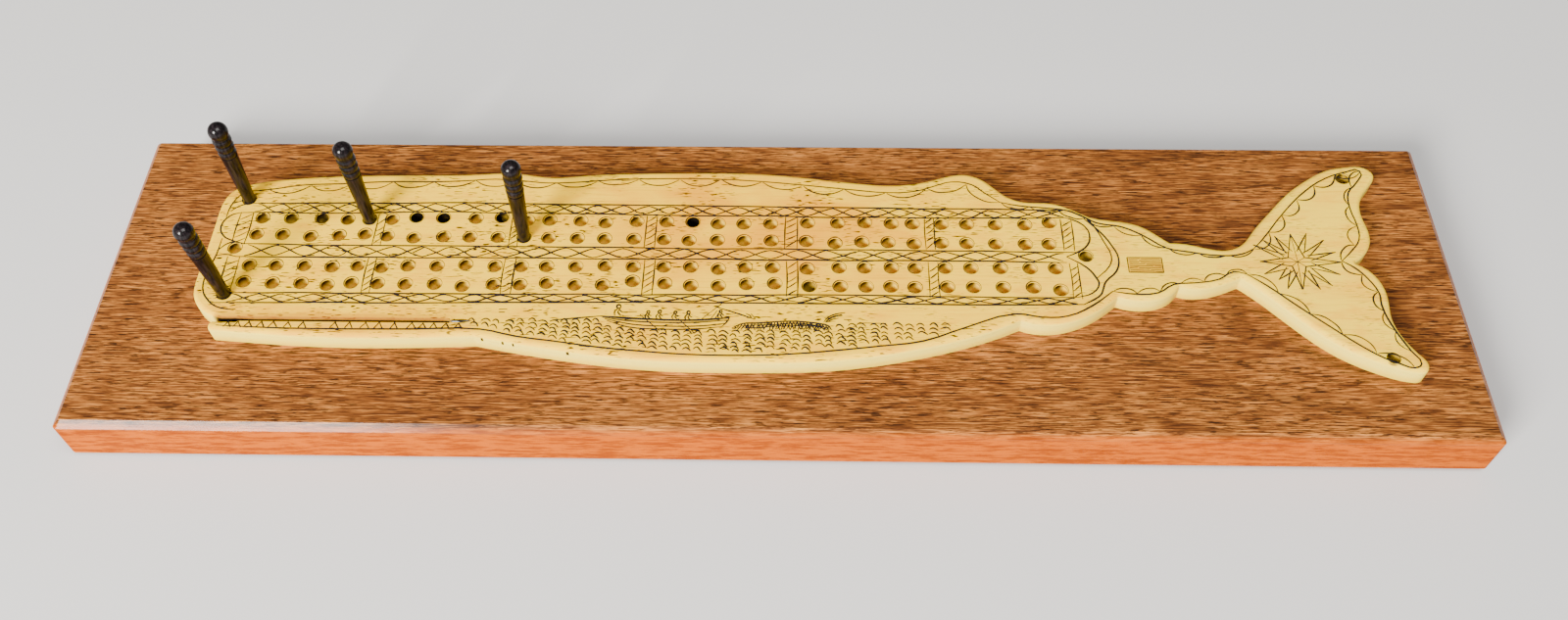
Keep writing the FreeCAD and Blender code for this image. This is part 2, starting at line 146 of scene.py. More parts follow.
class Graph:
    """Node graph of one material; lengths in its expressions are millimetres."""

    def __init__(self, name: str) -> None:
        """Start an empty material.

        Args:
            name: the material's name.
        """
        self.material = bpy.data.materials.new(name)
        self.material.use_nodes = True
        self.tree = self.material.node_tree
        self.tree.nodes.clear()
        self.place = self.out("ShaderNodeTexCoord", {}, {}, "Object")
        split = self.node("ShaderNodeSeparateXYZ", {}, {0: self.place})
        self.x, self.y, self.z = (Signal(self, axis) * (1 / MM) for axis in split.outputs)

    def node(self, kind: str, settings: dict, inputs: dict) -> bpy.types.Node:
        """Add a node.

        Args:
            kind: the node's type.
            settings: its own settings; "stops" are (position, colour) pairs of a ramp.
            inputs: values or signals by input name or index.

        Returns:
            The new node.
        """
        node = self.tree.nodes.new(kind)
        for key, value in settings.items():
            if key == "stops":
                elements = node.color_ramp.elements
                while len(elements) < len(value):
                    elements.new(1.0)
                for element, (position, colour) in zip(elements, value):
                    element.position = position
                    element.color = colour
            else:
                setattr(node, key, value)
        for key, value in inputs.items():
            if isinstance(value, Signal):
                self.tree.links.new(value.socket, node.inputs[key])
            else:
                node.inputs[key].default_value = value
        return node

    def out(self, kind: str, settings: dict, inputs: dict, output: Union[int, str] = 0) -> Signal:
        """Add a node and give one of its outputs.

        Args:
            kind: the node's type.
            settings: its own settings.
            inputs: values or signals by input name or index.
            output: the output's name or index.

        Returns:
            The chosen output.
        """
        return Signal(self, self.node(kind, settings, inputs).outputs[output])

    def noise(self, grain: Triple, detail: float, roughness: float, shift: float) -> Signal:
        """Add stretched noise between 0 and 1.

        Args:
            grain: length of one feature along X, Y and Z, in millimetres.
            detail: number of finer octaves.
            roughness: weight of the finer octaves.
            shift: offset that gives another pattern of the same kind.

        Returns:
            The noise value.
        """
        scale = tuple(1 / (MM * length) for length in grain)
        placed = self.out("ShaderNodeMapping", {}, {
            "Vector": self.place, "Location": (shift, 1.7 * shift, 0.6 * shift), "Scale": scale})
        return self.out("ShaderNodeTexNoise", {}, {
            "Vector": placed, "Scale": 1.0, "Detail": detail, "Roughness": roughness})

    def mix(self, factor: Number, first: Paint, second: Paint) -> Signal:
        """Mix two colours.

        Args:
            factor: share of the second colour.
            first: the first colour.
            second: the second colour.

        Returns:
            The mixed colour.
        """
        return self.out("ShaderNodeMix", {"data_type": "RGBA"},
                        {0: factor, 6: first, 7: second}, 2)

    def bump(self, height: Signal, depth: float, strength: float) -> Signal:
        """Turn a height between 0 and 1 into a surface normal.

        Args:
            height: the height pattern.
            depth: size of the relief in millimetres.
            strength: share of the relief that shows.

        Returns:
            The bent normal.
        """
        return self.out("ShaderNodeBump", {}, {
            "Height": height, "Distance": depth * MM, "Strength": strength})

    def spot(self, mark: Mark, radius: float, soft: float) -> Signal:
        """Mask a round spot in plan.

        Args:
            mark: the spot's centre.
            radius: radius at which the mask is one half.
            soft: width of its soft rim.

        Returns:
            1 inside the spot and 0 outside.
        """
        away = ((self.x - mark[0]) ** 2.0 + (self.y - mark[1]) ** 2.0) ** 0.5
        return away.ease(radius + soft / 2, radius - soft / 2)

    def finish(self, colour: Paint, roughness: Number, normal: Union[Signal, None] = None,
               **others: Union[Number, Triple]) -> Material:
        """Close the graph with one Principled surface.

        Args:
            colour: the base colour.
            roughness: the roughness.
            normal: a bent normal, if the surface has relief.
            **others: further sockets of the shader, with _ for each space.

        Returns:
            The finished material.
        """
        inputs = {"Base Color": colour, "Roughness": roughness}
        inputs.update({name.replace("_", " "): value for name, value in others.items()})
        if normal is not None:
            inputs["Normal"] = normal
        surface = self.out("ShaderNodeBsdfPrincipled", {}, inputs)
        self.node("ShaderNodeOutputMaterial", {}, {"Surface": surface})
        return self.material


@dataclass(frozen=True)
class PlankWood:
    """Lacquered brown hardwood with short dark pores along the plank."""

    light: Colour = shade(184, 119, 54)
    middle: Colour = shade(125, 73, 32)
    dark: Colour = shade(63, 34, 18)
    pore: Colour = shade(32, 18, 12)
    side: Colour = shade(190, 92, 0)
    side_dark: Colour = shade(146, 62, 0)
    coat: float = 0.2
    heart: Mark = (215.0, -8.0)
    ring_stretch: float = 3.9
    ring_rate: float = 0.17

    def material(self, top: float) -> Material:
        """Build the material.

        Args:
            top: height of the plank's face in millimetres.

        Returns:
            The finished material.
        """
        graph = Graph("plank_wood")
        drift = graph.noise((55.0, 26.0, 30.0), 2.0, 0.5, 4.0)
        figure = graph.noise((16.0, 1.9, 5.0), 3.0, 0.6, 1.0)
        streak = graph.noise((8.0, 0.4, 0.4), 3.0, 0.7, 2.0)
        vein = graph.noise((3.6, 0.32, 0.32), 2.0, 0.6, 3.0)
        fleck = graph.noise((7.0, 3.0, 0.9), 4.0, 0.75, 5.0)
        pores = vein.ease(0.52, 0.60) * figure.ease(0.32, 0.52)
        tone = (0.16 * figure + 0.72 * streak + 0.12 * drift).ease(0.36, 0.64)
        base = graph.out("ShaderNodeValToRGB", {
            "stops": [(0.0, self.dark), (0.5, self.middle), (1.0, self.light)]}, {"Fac": tone})
        across = self.ring_stretch * (graph.y - self.heart[1])
        arch = ((graph.x - self.heart[0]) ** 2.0 + across ** 2.0) ** 0.5
        turns = arch * self.ring_rate + 5.0 * drift
        rings = turns.math("SINE", turns).ease(0.6, 1.0)
        base = graph.mix(rings * graph.x.ease(55.0, 105.0) * 0.45, base, self.dark)
        below = top - graph.z
        flank, wall = below.ease(0.3, 1.4), below.ease(1.6, 2.4)
        base = graph.mix(pores * (0.82 - 0.5 * flank), base, self.pore)
        edge = graph.mix(fleck.ease(0.42, 0.60), self.side, self.side_dark)
        base = graph.mix(flank * (0.7 + 0.3 * wall), base, edge)
        relief = 1.0 - pores * 0.8 + 0.2 * streak
        rough = 0.30 + 0.2 * pores + 0.12 * streak
        return graph.finish(base, rough, graph.bump(relief, 0.06, 0.6),
                            Coat_Weight=self.coat * (1.0 - wall),
                            Coat_Roughness=0.16, Specular_IOR_Level=0.02)


@dataclass(frozen=True)
class Bone:
    """Polished old bone: honey patches, cream edges with a painted highlight band, painted shadow
    in the holes, stained mouth with painted shade.
    """

    face: Colour = shade(254, 201, 0)
    pale: Colour = shade(250, 207, 36)
    honey: Colour = shade(232, 156, 0)
    edge: Colour = shade(248, 208, 60)
    # Colour of the painted highlight band on the side wall.
    wall_highlight: Colour = shade(255, 230, 96)
    streak: Colour = shade(176, 112, 12)
    pit: Colour = shade(40, 22, 5)
    # Colour of the painted shadow on the hole walls, and of the darker band just below each rim.
    hole_shadow_and_rim: Colour = shade(44, 28, 8)
    hole_wall: Colour = shade(242, 194, 48)
    # Also used for the painted shade deep in the mouth's kerf.
    ink: Colour = shade(17, 13, 10)
    # Orange-brown stain of the lip, deepened into the kerf as painted shade.
    stain_and_shade: Colour = shade(122, 62, 8)
    shaded: Triple = (0.62, -0.78, 0.0)
    soak: Triple = (1.0, 0.85, 0.55)
    inked_holes: tuple[Triple, ...] = (
        (-127.6, 13.5, 0.3), (-120.4, 13.5, 0.5), (-112.7, 13.6, 0.85), (-106.2, 13.3, 0.35),
        (-89.0, 14.1, 1.0), (-82.4, 14.0, 1.0), (-67.8, 14.2, 1.0), (-20.3, 13.2, 1.0),
        (75.2, 3.5, 0.6), (142.1, 29.0, 0.55), (142.0, -25.4, 0.5), (8.4, -6.4, 0.55))
    lone_holes: Path = ((142.1, 29.0), (142.0, -25.4), (75.2, 3.5))
    specks: tuple[Triple, ...] = (
        (-68.0, -22.0, 0.3), (-63.0, -22.9, 0.26), (-60.5, -23.3, 0.26), (-47.5, -25.6, 0.34),
        (8.0, -28.6, 0.3))

    def bored_area(self, graph: Graph) -> Signal:
        """Mask the plan area in which every upright wall belongs to a hole.

        Args:
            graph: the material's graph.

        Returns:
            1 around the holes and 0 elsewhere.
        """
        area = graph.x.ease(-136.2, -135.9) * graph.x.ease(73.0, 72.5)
        area = area * graph.y.ease(-12.5, -12.0) * graph.y.ease(23.5, 23.0)
        for hole in self.lone_holes:
            area = area.larger(graph.spot(hole, 2.0, 0.2))
        return area

    def material(self, top: float) -> Material:
        """Build the material.

        Args:
            top: height of the plate's face in millimetres.

        Returns:
            The finished material.
        """
        graph = Graph("bone")
        cloud = graph.noise((26.0, 14.0, 40.0), 2.0, 0.5, 5.0)
        mottle = graph.noise((9.0, 3.5, 9.0), 3.0, 0.55, 6.0)
        fibre = graph.noise((16.0, 0.5, 3.0), 3.0, 0.6, 7.0)
        dash = graph.noise((2.4, 0.36, 0.5), 1.0, 0.5, 8.0)
        sparse = graph.noise((13.0, 7.0, 20.0), 2.0, 0.6, 9.0)
        colour = graph.mix(graph.x.ease(30.0, 110.0), self.face, self.pale)
        middle = graph.x.ease(-62.0, -18.0) * graph.x.ease(48.0, 20.0)
        lips = graph.y.ease(-12.5, -14.5) * graph.x.ease(-66.0, -78.0) * 0.55
        patches = (cloud.ease(0.36, 0.60) * middle * graph.y.ease(-16.0, 4.0)).larger(
            cloud.ease(0.52, 0.7) * 0.45).larger(lips * mottle.ease(0.25, 0.6))
        colour = graph.mix(patches * 0.85, colour, self.honey)
        colour = graph.mix(fibre.ease(0.5, 0.75) * 0.35, colour, self.streak)
        colour = graph.mix(mottle.ease(0.45, 0.75) * 0.45, colour, self.honey)
        pits = (dash.ease(0.60, 0.66) * sparse.ease(0.42, 0.54)
                * (0.4 + 0.6 * graph.x.ease(75.0, 45.0)))
        colour = graph.mix(pits, colour, self.pit)
        depth = top - graph.z
        inside = self.bored_area(graph) * depth.ease(0.05, 0.2)
        side = depth.ease(0.15, 1.0) * (1.0 - inside)
        colour = graph.mix(side * 0.85, colour, self.edge)
        # Painted highlight: a lighter band along the middle of the rounded side wall.
        roll = depth.ease(0.4, 1.2) * depth.ease(4.4, 2.2) * (1.0 - inside)
        colour = graph.mix(roll * 0.8, colour, self.wall_highlight)
        # Painted shadow: walls on the rear left of each hole (facing along shaded) darken towards
        # the rim; ring darkens a thin band just below every rim.
        facing = graph.out("ShaderNodeNewGeometry", {}, {}, "Normal")
        away = graph.out("ShaderNodeVectorMath", {"operation": "DOT_PRODUCT"},
                         {0: facing, 1: self.shaded}, "Value")
        shadow = away.ease(0.15, 0.9) * depth.ease(3.0, 0.6)
        ring = depth.ease(0.0, 0.12) * depth.ease(0.7, 0.35) * 0.6
        wall = graph.mix(shadow.larger(ring), self.hole_wall, self.hole_shadow_and_rim)
        colour = graph.mix(inside, colour, wall)
        blot = None
        for x, y, share in self.inked_holes:
            spot = graph.spot((x, y), 2.1, 0.6) * share
            blot = spot if blot is None else blot.larger(spot)
        blot = blot * (0.12 + 0.88 * inside.ease(0.0, 0.8)) * mottle.ease(0.25, 0.45)
        colour = graph.mix(blot, colour, self.ink)
        colour = self.mouth(graph, colour, depth)
        for x, y, radius in self.specks:
            dot = graph.spot((x, y), radius, 0.15) * depth.ease(0.6, 0.9) * depth.ease(2.0, 1.7)
            colour = graph.mix(dot, colour, self.pit)
        panel = graph.x.ease(84.8, 85.2) * graph.x.ease(93.5, 93.1)
        panel = panel * graph.y.ease(-1.6, -1.3) * graph.y.ease(3.4, 3.1)
        colour = graph.mix(panel * (0.25 + 0.5 * mottle), colour, self.streak)
        rough = 0.42 + 0.10 * mottle + 0.12 * pits
        relief = 1.0 - pits - 0.1 * fibre
        return graph.finish(colour, rough, graph.bump(relief, 0.04, 0.5), Specular_IOR_Level=0.04,
                            Subsurface_Weight=0.3, Subsurface_Scale=0.002,
                            Subsurface_Radius=self.soak)

    def mouth(self, graph: Graph, colour: Signal, depth: Signal) -> Signal:
        """Stain the lips of the mouth and paint shade into its kerf.

        Args:
            graph: the material's graph.
            colour: colour before the stain.
            depth: depth below the plate's face in millimetres.

        Returns:
            The colour with the stain and the painted shade.
        """
        along = graph.x.ease(-133.5, -131.0) * graph.x.ease(-73.5, -78.0)
        lip = graph.y.ease(-15.2, -16.4) * graph.y.ease(-18.05, -17.9) * along
        uneven = graph.noise((5.0, 3.0, 4.0), 3.0, 0.6, 11.0)
        corner = graph.x.ease(-123.0, -127.5)
        # The orange-brown stain grows stronger deeper into the kerf: partly stain, partly painted
        # shade.
        strength = (0.55 + 0.45 * depth.ease(0.0, 0.3)) * (0.7 + 0.3 * uneven)
        colour = graph.mix(lip * strength, colour, self.stain_and_shade)
        # Painted shade: deep in the kerf, and more towards its left end, the lip turns near-black.
        dark = (depth + 0.2 * corner + 0.35 * uneven).ease(0.65, 1.1)
        return graph.mix(lip * graph.y.ease(-15.9, -16.5) * dark, colour, self.ink)


@dataclass(frozen=True)
class PegWood:
    """Black turned hardwood with a waxed gloss."""

    light: Colour = shade(36, 29, 32)
    dark: Colour = shade(10, 8, 9)

    def material(self) -> Material:
        """Build the material.

        Returns:
            The finished material.
        """
        graph = Graph("peg_wood")
        grain = graph.noise((0.5, 0.5, 7.0), 3.0, 0.6, 1.0)
        scuff = graph.noise((1.4, 1.4, 1.8), 2.0, 0.6, 2.0)
        turning = graph.noise((9.0, 9.0, 0.22), 2.0, 0.5, 3.0)
        colour = graph.mix(grain.ease(0.4, 0.7), self.dark, self.light)
        rough = 0.20 + 0.16 * scuff + 0.10 * turning
        relief = 0.6 * turning + 0.4 * grain
        return graph.finish(colour, rough, graph.bump(relief, 0.05, 0.5), Coat_Weight=0.3,
                            Coat_Roughness=0.06, Specular_IOR_Level=0.05)


@dataclass(frozen=True)
class Ink:
    """Near-black ink, thinner and paler in places."""

    full: Colour = shade(17, 15, 20)
    thin: Colour = shade(32, 26, 27)

    def material(self) -> Material:
        """Build the material.

        Returns:
            The finished material.
        """
        graph = Graph("ink")
        wear = graph.noise((7.0, 7.0, 7.0), 3.0, 0.6, 1.0)
        speck = graph.noise((0.6, 0.6, 0.6), 1.0, 0.5, 2.0)
        colour = graph.mix(wear.ease(0.45, 0.7) * (0.5 + 0.5 * speck), self.full, self.thin)
        return graph.finish(colour, 0.6 + 0.2 * speck, Specular_IOR_Level=0.15)


@dataclass(frozen=True)
class Pitch:
    """Black glossy filler at the back of the mouth."""

    body: Colour = shade(14, 12, 14)
    worn: Colour = shade(60, 52, 54)

    def material(self) -> Material:
        """Build the material.

        Returns:
            The finished material.
        """
        graph = Graph("pitch")
        worn = graph.noise((1.2, 0.6, 1.0), 2.0, 0.6, 1.0)
        colour = graph.mix(worn.ease(0.55, 0.8) * 0.5, self.body, self.worn)
        return graph.finish(colour, 0.12 + 0.12 * worn, graph.bump(worn, 0.08, 0.4))


@dataclass(frozen=True)
class Brass:
    """Plain screw brass, dulled with age."""

    bright: Colour = shade(206, 168, 92)
    dull: Colour = shade(128, 96, 52)

    def material(self) -> Material:
        """Build the material.

        Returns:
            The finished material.
        """
        graph = Graph("screw_brass")
        tarnish = graph.noise((1.5, 1.5, 1.5), 3.0, 0.6, 1.0)
        colour = graph.mix(tarnish.ease(0.4, 0.7), self.bright, self.dull)
        return graph.finish(colour, 0.28 + 0.2 * tarnish, graph.bump(tarnish, 0.02, 0.4),
                            Metallic=1.0)


@dataclass(frozen=True)
class Felt:
    """Dark green pressed felt."""

    light: Colour = shade(58, 92, 70)
    dark: Colour = shade(24, 46, 34)

    def material(self) -> Material:
        """Build the material.

        Returns:
            The finished material.
        """
        graph = Graph("felt")
        hair = graph.noise((0.25, 0.25, 0.25), 4.0, 0.7, 1.0)
        colour = graph.mix(hair.ease(0.35, 0.65), self.dark, self.light)
        return graph.finish(colour, 0.95, graph.bump(hair, 0.15, 0.8), Sheen_Weight=0.3)


@dataclass(frozen=True)
class Paper:
    """Pale studio floor."""

    tone: Colour = shade(198, 198, 198)

    def material(self) -> Material:
        """Build the material."""
        return Graph("studio_paper").finish(self.tone, 0.8)


# An arc of a festoon, as shares of its span and of its sag.
ARC: Sequence[Mark] = ((0.03, 0.12), (0.28, 0.82), (0.55, 1.0), (0.8, 0.75), (0.99, 0.1))
# A strand of a twisted band, as shares of its run and of its rise.
STRAND: Sequence[Mark] = ((-0.04, 0.0), (0.18, 0.13), (0.5, 0.5), (0.82, 0.87), (1.04, 1.0))


class Weight(Enum):
    """Widths of the inked lines, as shares of the pen's full width."""

    HAIR = 0.76
    FINE = 0.88
    LINE = 1.0
    BOLD = 1.35


def dress(node: str, material: Material) -> None:
    """Give a CAD node a material.

    Args:
        node: the node's name.
        material: its new material.
    """
    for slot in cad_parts[node].material_slots:
        slot.material = material
    LOG.info("dressed %s with %s", node, material.name)


def lay(name: str, mesh: bpy.types.Mesh, material: Material) -> None:
    """Make a finished mesh a new piece that rides on the board.

    Args:
        name: the piece's name.
        mesh: its mesh, already in its place.
        material: its finish.
    """
    mesh.materials.clear()
    mesh.materials.append(material)
    piece = bpy.data.objects.new(name, mesh)
    bpy.context.scene.collection.objects.link(piece)
    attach(piece, "board")
    LOG.info("%s: %d faces", name, len(mesh.polygons))


def along(path: Sequence[Mark], pitch: float) -> list[Mark]:
    """Step along a path.

    Args:
        path: the path's marks.
        pitch: wanted distance between steps; it is adjusted to fit the path's length.

    Returns:
        Evenly spaced marks, the path's two ends included.
    """
    runs = [math.dist(start, end) for start, end in zip(path, path[1:])]
    count = max(1, round(sum(runs) / pitch))
    step = sum(runs) / count
    marks, passed, index = [path[0]], 0.0, 0
    for number in range(1, count):
        while number * step > passed + runs[index]:
            passed += runs[index]
            index += 1
        share = (number * step - passed) / runs[index]
        start, end = path[index], path[index + 1]
        marks.append((start[0] + (end[0] - start[0]) * share,
                      start[1] + (end[1] - start[1]) * share))
    return marks + [path[-1]]


def height_at(path: Sequence[Mark], x: float) -> float:
    """Give a path's Y at one X; the path runs towards +X.

    Args:
        path: the path's marks.
        x: where to read it.

    Returns:
        The path's Y there.
    """
    for start, end in zip(path, path[1:]):
        if x <= end[0]:
            break
    share = (x - start[0]) / (end[0] - start[0])
    return start[1] + (end[1] - start[1]) * share


@dataclass
class Pen:
    """Draws inked strokes as fine low ridges on the plate's face."""

    name: str
    level: float
    width: float = 0.41
    proud: float = 0.03
    shake: float = 0.05
    pressure: Span = (0.85, 1.15)
    tip: float = 0.55
    seed: int = 1
    strokes: list[tuple[list[Mark], float, bool]] = field(default_factory=list)

    def __post_init__(self) -> None:
        """Start the hand's own run of random numbers."""
        self.hand = random.Random(self.seed)

    def stroke(self, marks: Iterable[Mark], weight: Weight = Weight.LINE, curved: bool = True,
               shake: float = 1.0) -> None:
        """Draw one stroke.

        Args:
            marks: the marks that it passes.
            weight: its width.
            curved: whether it bends smoothly.
            shake: share of the hand's shake.
        """
        amount = self.shake * shake
        shaken = [(x + self.hand.gauss(0, amount), y + self.hand.gauss(0, amount))
                  for x, y in marks]
        self.strokes.append((shaken, weight.value * self.hand.uniform(*self.pressure), curved))

    def festoon(self, path: Sequence[Mark], pitch: float, sag: float) -> None:
        """Hang a row of arcs from a path, on its left-hand side.

        Args:
            path: the line that carries the arcs.
            pitch: width of one arc.
            sag: how far each arc hangs.
        """
        cusps = along(path, pitch)
        for (x0, y0), (x1, y1) in zip(cusps, cusps[1:]):
            span = math.dist((x0, y0), (x1, y1))
            out_x, out_y = (y0 - y1) / span, (x1 - x0) / span
            deep = sag * self.hand.uniform(0.8, 1.15)
            self.stroke([(x0 + (x1 - x0) * share + out_x * deep * fall,
                          y0 + (y1 - y0) * share + out_y * deep * fall)
                         for share, fall in ARC], Weight.FINE)

    def piece(self, material: Material) -> None:
        """Turn the strokes into one mesh piece that rides on the board.

        Args:
            material: the ink.
        """
        curve = bpy.data.curves.new(self.name, "CURVE")
        curve.dimensions = "3D"
        curve.bevel_depth = self.width * MM / 2
        curve.bevel_resolution = 0
        curve.resolution_u = 3
        curve.use_fill_caps = True
        curve.twist_mode = "Z_UP"
        for marks, weight, curved in self.strokes:
            spline = curve.splines.new("BEZIER" if curved else "POLY")
            points = spline.bezier_points if curved else spline.points
            points.add(len(marks) - 1)
            for index, (point, (x, y)) in enumerate(zip(points, marks)):
                ends = self.tip if index in (0, len(marks) - 1) else 1.0
                place = (x * MM, y * MM, 0.0)
                point.co = place if curved else (*place, 1.0)
                point.radius = weight * ends * self.hand.uniform(*self.pressure)
                if curved:
                    point.handle_left_type = point.handle_right_type = "AUTO"
        drawn = bpy.data.objects.new(self.name + "_curve", curve)
        bpy.context.scene.collection.objects.link(drawn)
        depsgraph = bpy.context.evaluated_depsgraph_get()
        mesh = bpy.data.meshes.new_from_object(drawn.evaluated_get(depsgraph))
        bpy.data.objects.remove(drawn)
        flatten = Matrix.Diagonal((1.0, 1.0, 2 * self.proud / self.width, 1.0))
        mesh.transform(Matrix.Translation((0.0, 0.0, self.level)) @ flatten)
        LOG.info("%s: %d strokes", self.name, len(self.strokes))
        lay(self.name, mesh, material)


@dataclass
class OnPlate:
    """What is laid on the plate: the height of its face in metres, and the finish."""

    level: float
    ink: Material


@dataclass
class Tracks(OnPlate):
    """The drawing around the peg holes: crossed bands, hatched dividers and rounded ends."""

    twists: tuple[float, ...] = (5.8, 7.0, 6.5)
    inset: float = 0.28
    stride: float = 9.0
    smudges: tuple[Path, ...] = (
        ((-115.2, 1.6), (-112.2, 1.8)), ((-105.9, 3.5), (-104.0, 2.9)),
        ((-94.0, 2.1), (-92.0, 2.2)), ((-88.2, 2.8), (-85.8, 4.6)), ((-79.6, 2.2), (-76.4, 2.2)),
        ((-63.4, 1.7), (-61.6, 1.7)), ((-59.4, 4.0), (-57.2, 4.8)), ((-47.0, -3.1), (-44.6, -3.1)),
        ((-115.8, -2.9), (-114.9, -1.8)), ((-66.5, -7.2), (-65.6, -6.9)))
    bands: tuple[tuple[Path, Path], ...] = (
        (((-131, 18.3), (-100, 18.6), (-80, 18.9), (-40, 18.6), (0, 18.3), (40, 18.1), (72, 18.0)),
         ((-133.4, 15.2), (-110, 15.1), (-95, 15.8), (-75, 15.8), (-20, 15.3), (10, 15.1),
          (60, 15.1), (71.5, 15.5))),
        (((-130.3, 5.2), (-75, 5.0), (-20, 4.9), (40, 4.7), (73.2, 4.6)),
         ((-131.5, 1.2), (-60, 1.4), (0, 1.5), (70.5, 1.6))),
        (((-131, -9.8), (-80, -9.6), (-20, -9.3), (20, -9.0), (60, -9.2), (72, -9.0)),
         ((-133.3, -12.7), (-100, -12.5), (-60, -12.0), (-20, -11.5), (40, -11.5), (73, -11.1))),
    )
    rows: tuple[Span, ...] = ((5.1, 15.1), (-9.5, 1.3))
    upper_dividers: tuple[Span, ...] = (
        (-133.4, -130.3), (-98.7, -96.7), (-65.2, -63.0), (-31.8, -29.3), (2.5, 5.4),
        (36.8, 39.0), (70.2, 72.7))
    lower_dividers: tuple[Span, ...] = (
        (-133.3, -130.4), (-98.7, -96.7), (-65.3, -62.7), (-31.4, -28.9), (3.0, 5.6),
        (37.1, 39.4), (70.9, 73.0))
    ends: tuple[Path, ...] = (
        ((-130.3, 5.2), (-133.6, 6.3), (-136, 7.6), (-137.4, 10.6), (-136, 14), (-133.4, 15.2)),
        ((-136.2, 7.0), (-136.3, 2.0), (-136.9, -2.0), (-137.3, -6.0), (-136.6, -9.6),
         (-135.3, -11.6), (-133, -13.6), (-130.4, -14.5), (-128.0, -14.8)),
        ((-136.9, 13.4), (-136.6, 17.2), (-135.2, 20.6), (-133.4, 22.2)),
        ((-136.3, 15.6), (-134.4, 17.3), (-132.6, 18.0), (-131, 18.3)),
        ((-136.2, 18.0), (-134.0, 19.1), (-132.2, 19.4)),
        ((-136.4, 1.4), (-134.2, 1.9), (-131.5, 1.2)),
        ((-136.4, 3.0), (-133.8, 5.6), (-130.3, 5.2)),
        ((-133.3, -12.7), (-134.6, -12.4)),
        ((71.5, 15.5), (74.2, 14.3), (76.2, 12.3), (76.8, 10), (76, 7), (73.2, 4.6), (70.5, 3.3)),
        ((70.5, 3.3), (75, 0), (77, -3), (77.4, -5.0), (75.6, -7.6), (72, -9)),
        ((72, 18), (76.5, 15.5), (78.6, 12), (80, 8), (81.3, 3.5), (80.5, 0.5), (77, -3.2)),
        ((76.0, 15.2), (79.5, 11), (82, 6.5), (83, 3), (82, -1), (79, -4.3), (78.2, -6.4),
         (77.5, -8.0), (75.5, -9.8), (73, -11.1)),
    )

    def band(self, pen: Pen, rear: Path, front: Path, twist: float) -> None:
        """Draw one band: its two lines and the two waves that cross between them.

        Args:
            pen: the pen.
            rear: the line on the rear side.
            front: the line on the front side.
            twist: distance between two crossings of the waves.
        """
        for line in (rear, front):
            pen.stroke(along(line, self.stride), shake=1.6)
        first, last = rear[0][0] + 1.0, min(rear[-1][0], front[-1][0]) - 0.5
        count = round((last - first) / twist)
        step = (last - first) / count
        for phase in (0, 1):
            marks = []
            for number in range(count + 1):
                x = first + number * step + pen.hand.gauss(0, 0.35)
                x = min(max(x, first), last)
                side = rear if (number + phase) % 2 else front
                inset = -self.inset if (number + phase) % 2 else self.inset
                marks.append((x, height_at(side, x) + inset))
            for start, end in zip(marks, marks[1:]):
                run, rise = end[0] - start[0], end[1] - start[1]
                points = [(start[0] + run * share, start[1] + rise * lift)
                          for share, lift in STRAND]
                pen.stroke(points, pen.hand.choice((Weight.FINE, Weight.LINE)), shake=1.2)

    def divider(self, pen: Pen, sides: Span, front: float, rear: float) -> None:
        """Draw one divider: two lines across the track with slanted hatching between them.

        Args:
            pen: the pen.
            sides: X of its two lines.
            front: Y of its front end.
            rear: Y of its rear end.
        """
        left, right = sides
        for x in sides:
            middle = (front + rear) / 2
            pen.stroke([(x, front), (x + pen.hand.gauss(0, 0.1), middle), (x, rear)], Weight.FINE)
        y = front + 0.5
        while y < rear - 1.4:
            rise = pen.hand.uniform(1.3, 1.9)
            pen.stroke([(left + 0.2, y), ((left + right) / 2, y + 0.45 * rise),
                        (right - 0.15, y + rise)], Weight.FINE)
            y += pen.hand.uniform(1.6, 2.3)

    def build(self) -> None:
        """Draw the bands, the dividers and the ends."""
        bands = Pen("ink_bands", self.level, seed=11)
        for (rear, front), twist in zip(self.bands, self.twists):
            self.band(bands, rear, front, twist)
        for marks in self.smudges:
            bands.stroke(marks, Weight.BOLD, curved=False)
        bands.piece(self.ink)
        dividers = Pen("ink_dividers", self.level, seed=12)
        for row, (front, rear) in zip((self.upper_dividers, self.lower_dividers), self.rows):
            for sides in row:
                self.divider(dividers, sides, front, rear)
        for marks in self.ends:
            dividers.stroke(marks, shake=0.8)
        dividers.piece(self.ink)


